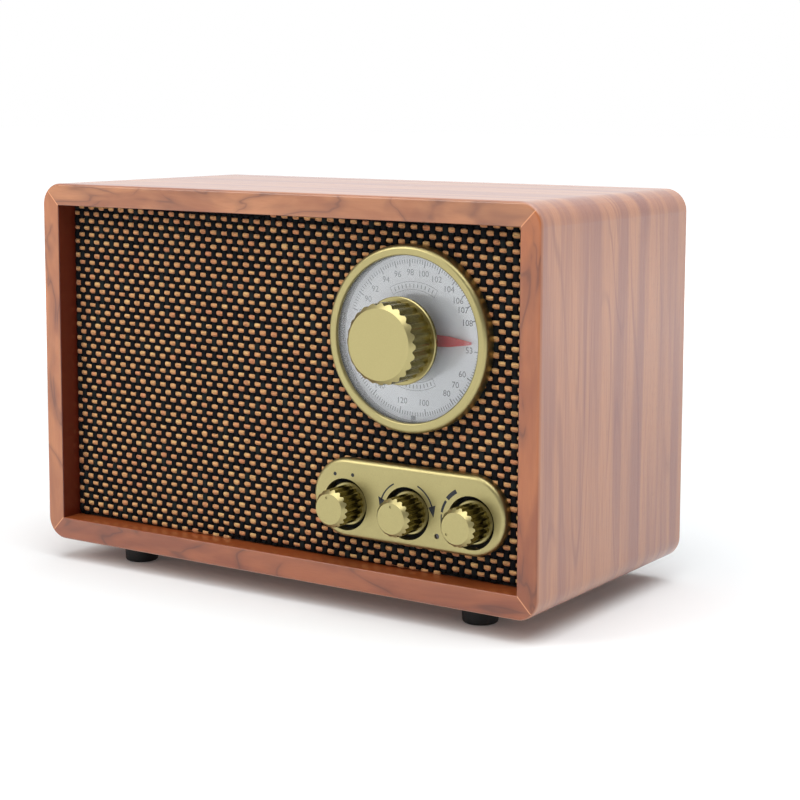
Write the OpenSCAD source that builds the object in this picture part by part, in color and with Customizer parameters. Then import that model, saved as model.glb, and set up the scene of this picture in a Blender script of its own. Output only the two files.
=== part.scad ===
// Tabletop radio: mitred wooden cabinet, woven grille, round dial with a geared pointer,
// three-knob control panel, loudspeaker, chassis parts and a folding rear aerial.
// Shapes are drawn in the cabinet's own frame: x from the middle, y from the front face to the
// back, z from the cabinet's underside. The origin of the whole part is the middle of its footprint.

/* [Cabinet] */
// Width of the cabinet
cab_w = 240; // [225:1:260]
// Depth of the cabinet, front face to back edge
cab_d = 118; // [110:1:130]
// Height of the cabinet without its feet
cab_h = 151; // [148:1:160]
// Radius of the four long corners
corner_r = 9; // [6:0.5:9]
// Thickness of the top board
top_t = 9.1; // [8.8:0.1:9.6]
// Thickness of the side boards
side_t = 8.8; // [8.4:0.1:9.2]
// Thickness of the bottom board
bottom_t = 9.2; // [8.8:0.1:9.6]
// Round on the front and back edges
edge_r = 1.2; // [0.6:0.1:2]
// Round on the front opening's edges
inner_edge_r = 0.5; // [0.2:0.1:1]
// Depth of the recess in front of the grille cloth
front_recess = 9.6; // [9.2:0.1:10]
// Depth of the recess behind the rear panel
rear_recess = 10; // [9.5:0.1:11]
// Height of the feet
foot_h = 9; // [7:0.5:12]
// Radius of a foot where it meets the cabinet
foot_r = 7.3; // [6:0.1:9]
// Distance of the feet from the middle, sideways
foot_x = 84.5; // [70:0.5:95]
// Distance of the feet from the front and back faces
foot_y = 19.3; // [15:0.1:25]

/* [Dial] */
// Dial centre, from the middle of the cabinet
dial_x = 60; // [58:0.5:62]
// Dial centre above the cabinet's underside
dial_z = 97.8; // [96:0.1:99]
// Outer radius of the metal bezel
bezel_r = 35.4; // [34.8:0.1:36]
// Inner radius of the metal bezel
bezel_in_r = 31.4; // [31:0.1:31.6]
// Length of the pointer from the dial centre
pointer_len = 26; // [22:0.5:28]
// How far the tuning knob stands out in front of the cabinet
knob_proud = 13.4; // [10:0.1:18]
// Radius of the tuning knob over its ribs
tune_r = 15.1; // [13:0.1:15.5]

/* [Controls] */
// Distance between neighbouring control knobs
control_pitch = 28.3; // [27:0.1:29]
// Height of the control knobs above the cabinet's underside
control_z = 31.8; // [31:0.1:33]
// Width of the control panel
panel_w = 86.6; // [85:0.1:88]
// Height of the control panel
panel_h = 30.7; // [30:0.1:32]
// Height of the control panel's centre
panel_z = 34.4; // [34:0.1:35]
// Radius of the holes round the control knobs
panel_hole_r = 10.1; // [9.8:0.1:10.4]
// Radius of a control knob over its ribs
control_r = 7.4; // [6.8:0.1:7.6]
// Turn of the band knob at rest, clockwise from upright
band_mark = -12.5; // [-20:0.5:0]
// Turn of the volume knob at rest, clockwise from upright
volume_mark = -125; // [-150:1:-110]

/* [Drive] */
// Gear module
gear_mod = 0.8; // [0.8:0.1:0.8]
// Teeth on the tuning spindle's pinion
spindle_teeth = 15; // [15:1:15]
// Teeth on the large half of the idler
idler_big_teeth = 30; // [30:1:30]
// Teeth on the small half of the idler
idler_small_teeth = 18; // [18:1:18]
// Teeth on the pointer wheel and the capacitor gear
wheel_teeth = 27; // [27:1:27]

/* [Loudspeaker] */
// Loudspeaker centre, from the middle of the cabinet
speaker_x = -50; // [-52:1:-48]
// Radius of the loudspeaker's flange
speaker_r = 50; // [48:1:51]

/* [Aerial] */
// Position of the aerial's elbow pin, from the middle of the cabinet
elbow_x = 93; // [88:1:93]
// Height of the aerial's elbow pin above the cabinet's underside
elbow_z = 120; // [112:1:121]
// Length of the outer aerial tube
aerial_len = 66; // [60:1:68]
// Radius of the outer aerial tube
aerial_r = 2.5; // [2.3:0.1:2.7]

/* [Hidden] */
$fn = 72;

// Cabinet frame inside the part's frame
front_y = knob_proud - (cab_d + knob_proud) / 2;

// Inside of the cabinet
in_x = cab_w / 2 - side_t;
in_low = bottom_t;
in_high = cab_h - top_t;
fit_gap = 0.2;

// Depths from the front face
cloth_t = 1;
baffle_t = 6;
baffle_y = front_recess + cloth_t;
baffle_back = baffle_y + baffle_t;
rear_t = 4;
rear_face = cab_d - rear_recess;
rear_front = rear_face - rear_t;
batten = 10;

// Dial stack
dial_plate_t = 0.6;
dial_plate_y = baffle_y - dial_plate_t;
window_y = 5.6;
window_t = 1.4;
pointer_y = 8.3;
pointer_t = 0.7;
sleeve_r = 5;
sleeve_back = 24.8;
spindle_r = 3;
run_gap = 0.06;
press_gap = 0.02;
bush_r = 6.5;
bush_flange_r = 9;
bush_flange_t = 1.6;

// Gear train
wheel_y = 20;
wheel_t = 3;
pinion_y = 26;
plate_y = 32;
plate_t = 1.5;
idler_gap = (spindle_teeth + idler_big_teeth) / 2 * gear_mod;
capacitor_gap = wheel_teeth * gear_mod;
idler_z = dial_z + idler_gap;
capacitor_x = dial_x - capacitor_gap;
pin_r = 2;
screw_r = 1.5;
plate_x = [20, 92];
plate_z = [74, 122];
pillar_spots = [[26, 80], [26, 116], [86, 80], [86, 116]];
pillar_r = 3.2;
backlash = 0.16;

// Controls
control_xs = [dial_x - control_pitch, dial_x, dial_x + control_pitch];
panel_y = 5.5;
panel_t = front_recess - panel_y;
panel_round = 1.9;
knob_face_y = -5.2;
knob_foot_y = 7.2;
knob_foot_t = 1.2;
knob_foot_r = 8.4;
bracket_y = 20;
bracket_t = 1.5;
lamp_x = 73.6;
lamp_z = 24.9;
lamp_r = 1;
bracket_screw_xs = [13, 106];
thread_r = 3.5;

// Loudspeaker
speaker_z = 75.5;
speaker_hole_r = 44;
cone_r = 36;
coil_r = 13;

// Aerial, folded along -x behind the rear panel
aerial_y = rear_face + 5;

// ---- helpers ----

// Places children drawn in the cabinet's frame
module cab() {
  translate([0, front_y, foot_h]) children();
}

// Straight round bar along y
module bar(x, z, r, y0, y1) {
  translate([x, y0, z]) rotate([-90, 0, 0]) cylinder(r = r, h = y1 - y0);
}

// Ring along y
module ring(x, z, r, hole, y0, y1) {
  difference() {
    bar(x, z, r, y0, y1);
    bar(x, z, hole, y0 - 1, y1 + 1);
  }
}

// Solid of revolution about a y axis, from an outline of [radius, y] points
module turned(x, z, points) {
  translate([x, 0, z]) rotate([-90, 0, 0]) rotate_extrude() polygon(points);
}

// Extrudes an x-z outline from y0 to y1
module slab(y0, y1) {
  translate([0, y1, 0]) rotate([90, 0, 0]) linear_extrude(y1 - y0) children();
}

// Points of a quarter arc, from angle a0 to a1
function arc(cx, cy, r, a0, a1, n = 8) =
  [for (i = [0 : n]) let (a = a0 + (a1 - a0) * i / n) [cx + r * cos(a), cy + r * sin(a)]];

// ---- cabinet ----

module round_outline() {
  translate([-cab_w / 2 + corner_r, 0]) square([cab_w - 2 * corner_r, cab_h]);
  translate([-cab_w / 2, corner_r]) square([cab_w, cab_h - 2 * corner_r]);
  for (x = [-1, 1], z = [corner_r, cab_h - corner_r])
    translate([x * (cab_w / 2 - corner_r), z]) circle(corner_r);
}

// What an edge round takes off, with the sharp corner at the origin
module edge_waste(r = edge_r) {
  difference() {
    translate([-r, -1]) square([r + 1, r + 1]);
    translate([-r, r]) circle(r, $fn = 48);
  }
}

// Waste along the inner front edge of a board whose wood lies above z 0
module inner_waste() {
  translate([-cab_w / 2, 0, 0]) rotate([90, 0, 90]) linear_extrude(cab_w)
    mirror([0, 1]) mirror([1, -1]) edge_waste(inner_edge_r);
}

// Waste along a straight outer edge, length l along x, for the top board
module straight_waste(l) {
  translate([-l / 2, 0, cab_h]) rotate([90, 0, 90]) linear_extrude(l)
    mirror([1, -1]) edge_waste();
}

// Waste round a corner: turn picks the quarter
module corner_waste(x, z, turn) {
  translate([x, 0, z]) rotate([0, turn, 0]) rotate([-90, 0, 0])
    rotate_extrude(angle = 90) translate([corner_r, 0]) edge_waste();
}

// All the waste at the front, made once for each of the four straight edges and corners
module front_waste() {
  cx = cab_w / 2 - corner_r;
  cz = cab_h - corner_r;
  straight_waste(2 * cx);
  translate([0, 0, cab_h]) mirror([0, 0, 1]) straight_waste(2 * cx);
  for (side = [0, 1]) mirror([side, 0, 0]) {
    translate([cab_w / 2 - cab_h, 0, cab_h / 2]) rotate([0, 90, 0]) straight_waste(cab_h - 2 * corner_r);
    corner_waste(cx, cz, -90);
    corner_waste(cx, corner_r, 0);
  }
}

// One mitred board: outline is its trapezium in x-z, and its child is the inner edge's waste
module board(outline) {
  difference() {
    slab(0, cab_d) intersection() {
      round_outline();
      polygon(outline);
    }
    front_waste();
    translate([0, cab_d, 0]) mirror([0, 1, 0]) front_waste();
    children();
  }
}

module cabinet_top() {
  color("sienna") cab() board([[-cab_w / 2, cab_h], [cab_w / 2, cab_h], [in_x, in_high], [-in_x, in_high]])
    translate([0, 0, in_high]) inner_waste();
}

module cabinet_bottom() {
  color("sienna") cab() board([[-cab_w / 2, 0], [cab_w / 2, 0], [in_x, in_low], [-in_x, in_low]])
    translate([0, 0, in_low]) mirror([0, 0, 1]) inner_waste();
}

module side_board() {
  board([[cab_w / 2, 0], [cab_w / 2, cab_h], [in_x, in_high], [in_x, in_low]])
    translate([in_x, 0, cab_h / 2]) rotate([0, 90, 0]) inner_waste();
}

module cabinet_left() {
  color("peru") cab() mirror([1, 0, 0]) side_board();
}

module cabinet_right() {
  color("peru") cab() side_board();
}

// Glue blocks that hold the baffle and the rear panel; the front uprights stop above the controls
module cabinet_battens() {
  high = in_high - batten;
  color("burlywood") cab() for (y = [baffle_back, rear_front - batten]) {
    low = y == baffle_back ? control_z + 14 : in_low + batten + fit_gap;
    for (z = [in_low, high])
      translate([-in_x, y, z]) cube([2 * in_x, batten, batten]);
    for (x = [-in_x, in_x - batten])
      translate([x, y, low]) cube([batten, batten, high - fit_gap - low]);
  }
}

module feet() {
  color("black") for (x = [-foot_x, foot_x], y = [foot_y, cab_d - foot_y])
    translate([x, front_y + y, 0]) rotate_extrude()
      polygon(concat([[0, 0]], arc(foot_r - 1.6, 1.2, 1.2, -90, 0, 6), [[foot_r, foot_h], [0, foot_h]]));
}

// ---- front ----

module inside_sheet() {
  translate([-in_x + fit_gap, in_low + fit_gap])
    square([2 * (in_x - fit_gap), in_high - in_low - 2 * fit_gap]);
}

module panel_outline(inset) {
  half = panel_w / 2 - panel_h / 2;
  translate([dial_x - half, panel_z - panel_h / 2 + inset]) square([2 * half, panel_h - 2 * inset]);
  for (side = [-1, 1]) translate([dial_x + side * half, panel_z]) circle(panel_h / 2 - inset);
}

module baffle_board() {
  color("dimgray") cab() difference() {
    slab(baffle_y, baffle_back) inside_sheet();
    bar(speaker_x, speaker_z, speaker_hole_r, baffle_y - 1, baffle_back + 1);
    bar(dial_x, dial_z, bush_r, baffle_y - 1, baffle_back + 1);
    for (x = control_xs) bar(x, control_z, 4.5, baffle_y - 1, baffle_back + 1);
    bar(lamp_x, lamp_z, lamp_r + 0.05, baffle_y - 1, baffle_back + 1);
    for (s = pillar_spots) bar(s[0], s[1], screw_r, baffle_back - 5, baffle_back + 1);
    for (x = bracket_screw_xs) bar(x, control_z, screw_r, baffle_back - 5, baffle_back + 1);
    for (a = [45 : 90 : 315])
      bar(speaker_x + (speaker_r - 3) * cos(a), speaker_z + (speaker_r - 3) * sin(a), screw_r,
        baffle_back - 5, baffle_back + 1);
  }
}

// Woven cloth stretched over the baffle, cut away under the dial and the panel
module grille_cloth() {
  color("saddlebrown") cab() slab(front_recess, baffle_y) difference() {
    inside_sheet();
    translate([dial_x, dial_z]) circle(bezel_r - 1);
    panel_outline(2);
  }
}

// ---- dial ----

module dial_bezel() {
  base_r = bezel_r - 1.1;
  crown = concat(
    arc(bezel_r - 2, 6.2, 2, 0, -75, 8),
    arc(bezel_in_r + 0.8, 5, 0.8, -110, -180, 4));
  color("darkkhaki") cab() turned(dial_x, dial_z, concat(
    [[base_r, baffle_y], [base_r, front_recess], [bezel_r, front_recess]],
    crown,
    [[bezel_in_r, window_y], [bezel_in_r + 1, window_y], [bezel_in_r + 1, baffle_y]]));
}

module dial_window() {
  color("aliceblue", 0.4) cab() ring(dial_x, dial_z, bezel_in_r + 0.9, spindle_r + 1,
    window_y, window_y + window_t);
}

module dial_spacer() {
  color("gray") cab() ring(dial_x, dial_z, bezel_in_r + 0.9, bezel_in_r - 0.2,
    window_y + window_t, dial_plate_y);
}

module dial_plate() {
  color("gainsboro") cab() ring(dial_x, dial_z, bezel_in_r + 0.9, sleeve_r + 0.6,
    dial_plate_y, baffle_y);
}

// Double-ended needle on a hub
module pointer() {
  hub_r = 7.5;
  root_w = 2.6;
  shoulder_r = 16.5;
  shoulder_w = 1.95;
  tip_w = 0.5;
  color("crimson") cab() difference() {
    slab(pointer_y, pointer_y + pointer_t) translate([dial_x, dial_z]) {
      circle(hub_r);
      for (side = [0, 180]) rotate(side)
        polygon([
          [0, -root_w], [shoulder_r, -shoulder_w], [pointer_len, -tip_w],
          [pointer_len, tip_w], [shoulder_r, shoulder_w], [0, root_w],
        ]);
    }
    bar(dial_x, dial_z, sleeve_r + press_gap, pointer_y - 1, pointer_y + 2);
  }
}

module pointer_sleeve() {
  color("goldenrod") cab() ring(dial_x, dial_z, sleeve_r, spindle_r + run_gap, pointer_y - 0.3, sleeve_back);
}

module sleeve_bush() {
  color("ivory") cab() difference() {
    union() {
      bar(dial_x, dial_z, bush_r, baffle_y, baffle_back);
      bar(dial_x, dial_z, bush_flange_r, baffle_back, baffle_back + bush_flange_t);
    }
    bar(dial_x, dial_z, sleeve_r + run_gap, baffle_y - 1, baffle_back + 3);
  }
}

// ---- tuning drive ----

// Involute of the base circle, as a polar angle at radius r
function roll(base, r) = sqrt(max(0, pow(r / base, 2) - 1)) * 180 / PI - acos(min(1, base / r));

// Spur gear outline with a tooth centred on +x, turned by phase
module gear_outline(teeth, phase) {
  pitch = teeth * gear_mod / 2;
  base = pitch * cos(20);
  tip = pitch + gear_mod * 0.95;
  root = pitch - gear_mod * 1.2;
  start = max(base, root);
  half = 90 / teeth - backlash / 2 / pitch * 90 / PI + roll(base, pitch);
  steps = 3;
  rotate(phase) polygon([for (t = [0 : teeth - 1]) let (mid = t * 360 / teeth) each concat(
    [[root * cos(mid - half), root * sin(mid - half)]],
    [for (i = [0 : steps]) let (r = start + (tip - start) * i / steps, a = mid - half + roll(base, r))
      [r * cos(a), r * sin(a)]],
    [for (i = [steps : -1 : 0]) let (r = start + (tip - start) * i / steps, a = mid + half - roll(base, r))
      [r * cos(a), r * sin(a)]],
    [[root * cos(mid + half), root * sin(mid + half)]])]);
}

// Phase of a gear that meshes with one of turn a_teeth and a_phase, seen from the first at angle dir
function mesh_phase(a_teeth, a_phase, b_teeth, dir) =
  dir + 180 - (0.5 - (dir - a_phase) * a_teeth / 360) * 360 / b_teeth;

pinion_phase = 0;
idler_big_phase = mesh_phase(spindle_teeth, pinion_phase, idler_big_teeth, 90);
pointer_phase = 0;
idler_small_phase = mesh_phase(wheel_teeth, pointer_phase, idler_small_teeth, 90);
capacitor_phase = mesh_phase(wheel_teeth, pointer_phase, wheel_teeth, 180);

module gear(x, z, teeth, phase, y0, y1) {
  slab(y0, y1) translate([x, z]) gear_outline(teeth, phase);
}

module pointer_wheel() {
  color("gold") cab() difference() {
    union() {
      gear(dial_x, dial_z, wheel_teeth, pointer_phase, wheel_y, wheel_y + wheel_t);
      bar(dial_x, dial_z, 7, wheel_y - 1.2, wheel_y);
    }
    bar(dial_x, dial_z, sleeve_r + press_gap, wheel_y - 2, wheel_y + wheel_t + 1);
  }
}

module spindle_pinion() {
  color("gold") cab() difference() {
    gear(dial_x, dial_z, spindle_teeth, pinion_phase, pinion_y - 0.3, pinion_y + wheel_t + 0.3);
    bar(dial_x, dial_z, spindle_r + press_gap, pinion_y - 1, pinion_y + wheel_t + 1);
  }
}

module tuning_spindle() {
  color("silver") cab() bar(dial_x, dial_z, spindle_r, -8, 38);
}

module idler_gear() {
  color("white") cab() difference() {
    union() {
      gear(dial_x, idler_z, idler_small_teeth, idler_small_phase, wheel_y - 0.4, wheel_y + wheel_t + 0.4);
      bar(dial_x, idler_z, 5, wheel_y + wheel_t + 0.4, plate_y - 0.4);
      gear(dial_x, idler_z, idler_big_teeth, idler_big_phase, pinion_y, pinion_y + wheel_t);
    }
    bar(dial_x, idler_z, pin_r + run_gap, wheel_y - 2, plate_y + 1);
  }
}

// Steel plate with the idler's riveted pin
module gear_plate() {
  color("silver") cab() {
    difference() {
      slab(plate_y, plate_y + plate_t) translate([plate_x[0], plate_z[0]])
        square([plate_x[1] - plate_x[0], plate_z[1] - plate_z[0]]);
      for (s = pillar_spots) bar(s[0], s[1], screw_r, plate_y - 1, plate_y + plate_t + 1);
      bar(dial_x, dial_z, sleeve_r, plate_y - 1, plate_y + plate_t + 1);
      bar(capacitor_x, dial_z, 4.1, plate_y - 1, plate_y + plate_t + 1);
    }
    bar(dial_x, idler_z, pin_r, wheel_y - 1.4, plate_y + 0.1);
  }
}

module spindle_bush() {
  color("goldenrod") cab() difference() {
    union() {
      bar(dial_x, dial_z, sleeve_r - press_gap, plate_y - 0.8, plate_y + plate_t);
      bar(dial_x, dial_z, 6.5, plate_y + plate_t, plate_y + plate_t + 2);
    }
    bar(dial_x, dial_z, spindle_r + run_gap, plate_y - 2, plate_y + plate_t + 3);
  }
}

module gear_pillars() {
  color("silver") cab() for (s = pillar_spots)
    ring(s[0], s[1], pillar_r, screw_r, baffle_back, plate_y);
}

// Round-headed screw along y: the shank from y0 to y1, the head behind y1
module screw(x, z, y0, y1) {
  bar(x, z, screw_r, y0, y1);
  difference() {
    turned(x, z, concat([[0, y1], [2.8, y1], [2.8, y1 + 0.8]], arc(1.6, y1 + 0.8, 1.2, 0, 90, 4), [[0, y1 + 2]]));
    for (turn = [0, 90]) translate([x, y1 + 1.6, z]) rotate([0, turn, 0]) cube([3, 1.2, 0.5], center = true);
  }
}

module gear_screws() {
  color("gainsboro") cab() {
    for (s = pillar_spots) screw(s[0], s[1], baffle_back - 4.5, plate_y + plate_t);
    for (x = bracket_screw_xs) screw(x, control_z, baffle_back - 4.5, baffle_back + bracket_t);
  }
}

module capacitor_body() {
  size = 25;
  back = 46;
  color("whitesmoke") cab() difference() {
    union() {
      slab(plate_y + plate_t, back) translate([capacitor_x - size / 2, dial_z - size / 2]) square(size);
      bar(capacitor_x, dial_z, 4, plate_y - 1, plate_y + plate_t);
    }
    bar(capacitor_x, dial_z, spindle_r + run_gap, plate_y - 2, back - 1.5);
  }
}

module capacitor_shaft() {
  color("goldenrod") cab() bar(capacitor_x, dial_z, spindle_r, wheel_y - 1.5, 44);
}

module capacitor_gear() {
  color("gold") cab() difference() {
    union() {
      gear(capacitor_x, dial_z, wheel_teeth, capacitor_phase, wheel_y, wheel_y + wheel_t);
      bar(capacitor_x, dial_z, 6, wheel_y + wheel_t, wheel_y + wheel_t + 4);
    }
    bar(capacitor_x, dial_z, spindle_r + press_gap, wheel_y - 2, wheel_y + wheel_t + 5);
  }
}

// ---- knobs ----

// Outline with rounded ribs
module ribbed(r, ribs, depth) {
  per = 8;
  polygon([for (i = [0 : ribs * per - 1]) let (a = i * 360 / (ribs * per))
    (r - depth * pow(abs(sin(a * ribs / 2)), 3)) * [cos(a), sin(a)]]);
}

// Knob with a ribbed body, a bevelled flat face and a round foot
module knob(x, z, r, ribs, depth, face_r, face_y, foot_r, foot_y, foot_t, bore_y) {
  bevel = 2;
  difference() {
    union() {
      intersection() {
        slab(face_y, foot_y) translate([x, z]) ribbed(r, ribs, depth);
        turned(x, z, [[0, face_y], [face_r, face_y], [r + 0.1, face_y + bevel], [r + 0.1, foot_y], [0, foot_y]]);
      }
      turned(x, z, [[0, foot_y], [foot_r - 0.3, foot_y], [foot_r, foot_y + 0.3], [foot_r, foot_y + foot_t],
        [0, foot_y + foot_t]]);
    }
    bar(x, z, spindle_r + press_gap, bore_y, foot_y + foot_t + 1);
  }
}

module tuning_knob() {
  color("darkkhaki") cab() knob(dial_x, dial_z, tune_r, 24, 0.8, 13.25, -knob_proud, 16.5, -0.6, 1.4, -8.02);
}

// One control knob, with its index dimple turned clockwise by mark
module control_knob(x, mark) {
  color("darkkhaki") cab() difference() {
    knob(x, control_z, control_r, 18, 0.6, 5.9, knob_face_y, knob_foot_r, knob_foot_y, knob_foot_t, -1.02);
    bar(x + 4.5 * sin(mark), control_z + 4.5 * cos(mark), 0.5, knob_face_y - 1, knob_face_y + 0.35);
  }
}

module band_knob() {
  control_knob(control_xs[0], band_mark);
}

module tone_knob() {
  control_knob(control_xs[1], 0);
}

module volume_knob() {
  control_knob(control_xs[2], volume_mark);
}

// ---- control panel and what is behind it ----

module control_panel() {
  half = panel_w / 2 - panel_h / 2;
  edge = concat(arc(panel_h / 2 - panel_round, panel_y + panel_round, panel_round, 0, -90, 8));
  color("darkkhaki") cab() difference() {
    union() {
      for (side = [-1, 1]) turned(dial_x + side * half, panel_z,
        concat([[0, front_recess], [panel_h / 2, front_recess]], edge, [[0, panel_y]]));
      translate([dial_x - half, 0, panel_z]) rotate([90, 0, 90]) linear_extrude(2 * half)
        polygon(concat([for (p = concat([[panel_h / 2, front_recess]], edge)) [p[1], p[0]]],
          [for (i = [len(edge) - 1 : -1 : 0]) [edge[i][1], -edge[i][0]]], [[front_recess, -panel_h / 2]]));
    }
    for (x = control_xs) bar(x, control_z, panel_hole_r, panel_y - 1, front_recess + 1);
    bar(lamp_x, lamp_z, lamp_r + 0.05, panel_y - 1, front_recess + 1);
  }
}

module power_lamp() {
  color("red") cab() bar(lamp_x, lamp_z, lamp_r, panel_y + 0.6, baffle_back);
}

// Bent steel strip that carries the three controls
module control_bracket() {
  low = control_z - 10;
  color("silver") cab() difference() {
    union() {
      translate([20, bracket_y, low]) cube([80, bracket_t, 20]);
      for (x = [18.5, 100]) translate([x, baffle_back, low]) cube([1.5, bracket_y + bracket_t - baffle_back, 20]);
      translate([8, baffle_back, low]) cube([10.5, bracket_t, 20]);
      translate([101.5, baffle_back, low]) cube([8.5, bracket_t, 20]);
    }
    for (x = control_xs) bar(x, control_z, thread_r + 0.05, bracket_y - 1, bracket_y + 3);
    for (x = bracket_screw_xs) bar(x, control_z, screw_r, baffle_back - 1, baffle_back + 3);
  }
}

// Body of a rotary control: threaded neck, round can, solder tags
module rotary(x, can_r, can_y) {
  tag_z = control_z - can_r;
  difference() {
    union() {
      bar(x, control_z, thread_r, baffle_y + 3, bracket_y + bracket_t);
      bar(x, control_z, can_r, bracket_y + bracket_t, can_y);
      for (dx = [-4, 0, 4]) translate([x + dx - 0.8, bracket_y + bracket_t + 2, tag_z - 3]) cube([1.6, 0.8, 5]);
    }
    bar(x, control_z, spindle_r + run_gap, baffle_y, can_y - 1.5);
  }
}

module band_switch() {
  color("saddlebrown") cab() rotary(control_xs[0], 9, 30);
}

module tone_pot() {
  color("darkslategray") cab() rotary(control_xs[1], 8.2, 31);
}

module volume_pot() {
  color("darkslategray") cab() rotary(control_xs[2], 8.2, 38);
}

module control_nuts() {
  color("gainsboro") cab() for (x = control_xs) difference() {
    translate([x, bracket_y - 2.2, control_z]) rotate([-90, 0, 0]) cylinder(r = 5.8, h = 2.2, $fn = 6);
    bar(x, control_z, thread_r + press_gap, bracket_y - 4, bracket_y + 1);
  }
}

module control_shaft(x, back) {
  color("silver") cab() bar(x, control_z, spindle_r, -1, back);
}

module band_shaft() {
  control_shaft(control_xs[0], 28);
}

module tone_shaft() {
  control_shaft(control_xs[1], 29);
}

module volume_shaft() {
  control_shaft(control_xs[2], 36);
}

// ---- loudspeaker ----

module speaker_basket() {
  seat = baffle_back;
  color("darkgray") cab() difference() {
    turned(speaker_x, speaker_z, [[41, seat], [speaker_r, seat], [speaker_r, seat + 1.4], [43.5, seat + 1.4],
      [24, 40], [24, 42.4], [14.2, 42.4], [14.2, 41], [22.8, 41], [22.8, 39.6], [42, seat + 1.4], [41, seat + 1.4]]);
    for (a = [0 : 90 : 270]) translate([speaker_x, 28, speaker_z]) rotate([0, a, 0])
      translate([20, -7, -11]) cube([30, 14, 22]);
    for (a = [45 : 90 : 315])
      bar(speaker_x + (speaker_r - 3) * cos(a), speaker_z + (speaker_r - 3) * sin(a), screw_r, seat - 1, seat + 3);
  }
}

module speaker_cone() {
  color("dimgray") cab() turned(speaker_x, speaker_z, [[cone_r, 15.2], [cone_r, 16], [coil_r, 34],
    [coil_r, 46], [coil_r - 0.4, 46], [coil_r - 0.4, 33], [cone_r - 1.4, 15.2]]);
}

// Half-roll edge: outer lip, arch, inner lip
module speaker_surround() {
  mid = 38.9;
  color("black") cab() turned(speaker_x, speaker_z, concat(
    [[43.4, 15.2], [43.4, 14.4]], arc(mid, 14.4, 2.6, 0, -180, 10), [[34.6, 14.4], [34.6, 15.2]],
    arc(mid, 15.2, 2.4, -180, 0, 10)));
}

module speaker_dust_cap() {
  dome = 20;
  wall = 0.8;
  dome_y = 45.15;
  step = 5.8;
  color("black") cab() turned(speaker_x, speaker_z, concat(
    [for (i = [0 : 8]) let (a = i * step) [dome * sin(a), dome_y - dome * cos(a)]],
    [for (i = [8 : -1 : 0]) let (a = i * step, r = dome - wall) [r * sin(a), dome_y - r * cos(a)]]));
}

// Front plate, ferrite ring and back plate with its pole
module speaker_magnet() {
  color("gray") cab() {
    ring(speaker_x, speaker_z, 27, coil_r + 0.6, 42.4, 46);
    ring(speaker_x, speaker_z, 30, 16, 46, 56);
    turned(speaker_x, speaker_z, [[0, 42.6], [coil_r - 0.9, 42.6], [coil_r - 0.9, 56], [27, 56], [27, 60], [0, 60]]);
  }
}

module speaker_screws() {
  color("gainsboro") cab() for (a = [45 : 90 : 315])
    screw(speaker_x + (speaker_r - 3) * cos(a), speaker_z + (speaker_r - 3) * sin(a),
      baffle_back - 4.5, baffle_back + 1.4);
}

// ---- chassis ----

board_x = [-20, 90];
board_y = [46, 90];
board_z = 15.2;
board_t = 1.6;

module main_board() {
  color("darkgreen") cab() {
    translate([board_x[0], board_y[0], board_z])
      cube([board_x[1] - board_x[0], board_y[1] - board_y[0], board_t]);
    for (x = [board_x[0] + 5, board_x[1] - 5], y = [board_y[0] + 5, board_y[1] - 5])
      translate([x, y, in_low]) cylinder(r = 3, h = board_z - in_low);
  }
}

// Smoothing capacitors, screened coils, amplifier with its heat sink
module board_parts() {
  top = board_z + board_t;
  color("slategray") cab() {
    for (p = [[0, 60, 6.3, 16], [18, 58, 5, 13], [18, 74, 5, 13], [78, 60, 4, 11]])
      translate([p[0], p[1], top]) cylinder(r = p[2], h = p[3]);
    for (i = [0 : 2]) translate([34 + 12 * i, 54, top]) cube([8, 8, 12]);
    translate([34, 70, top]) cube([26, 10, 4]);
    translate([-8, 76, top]) cube([18, 3, 22]);
    for (i = [0 : 3]) translate([-8 + 5 * i, 79, top]) cube([2, 6, 22]);
  }
}

rod_y = 70;
rod_z = 126;

module ferrite_rod() {
  color("black") cab() translate([-80, rod_y, rod_z]) rotate([0, 90, 0]) cylinder(r = 5, h = 110);
}

module ferrite_coil() {
  color("orange") cab() translate([-45, rod_y, rod_z]) rotate([0, 90, 0]) difference() {
    cylinder(r = 6.5, h = 30);
    translate([0, 0, -1]) cylinder(r = 5.02, h = 32);
  }
}

module rod_holders() {
  color("ivory") cab() for (x = [-72, 14]) difference() {
    translate([x, rod_y - 9, rod_z - 8]) cube([6, 18, in_high - rod_z + 8]);
    translate([x - 1, rod_y, rod_z]) rotate([0, 90, 0]) cylinder(r = 5.02, h = 8);
  }
}

// ---- rear ----

jack_z = 30;
inlet_x = 80;
jack_xs = [40, 60];
rear_screw_spots = [for (x = [-105, 0, 105], z = [in_low + 5, in_high - 5]) [x, z]];

module rear_panel() {
  color("black") cab() difference() {
    slab(rear_front, rear_face) inside_sheet();
    bar(inlet_x, jack_z, 5.5, rear_front - 1, rear_face + 1);
    for (x = jack_xs) bar(x, jack_z, 4, rear_front - 1, rear_face + 1);
    for (s = rear_screw_spots) bar(s[0], s[1], screw_r, rear_front - 1, rear_face + 1);
  }
}

module rear_screws() {
  color("gainsboro") cab() for (s = rear_screw_spots) screw(s[0], s[1], rear_front + 0.02, rear_face);
}

// Low-voltage power socket with its centre pin
module dc_inlet() {
  color("dimgray") cab() difference() {
    union() {
      bar(inlet_x, jack_z, 5.5, rear_front - 8, rear_face);
      bar(inlet_x, jack_z, 7, rear_face, rear_face + 1.2);
    }
    bar(inlet_x, jack_z, 2.8, rear_front - 4, rear_face + 2);
  }
}

module rear_jacks() {
  color("silver") cab() for (x = jack_xs) difference() {
    union() {
      bar(x, jack_z, 4, rear_front - 10, rear_face);
      bar(x, jack_z, 5.5, rear_face, rear_face + 1.4);
    }
    bar(x, jack_z, 1.8, rear_front - 9, rear_face + 2);
  }
}

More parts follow.
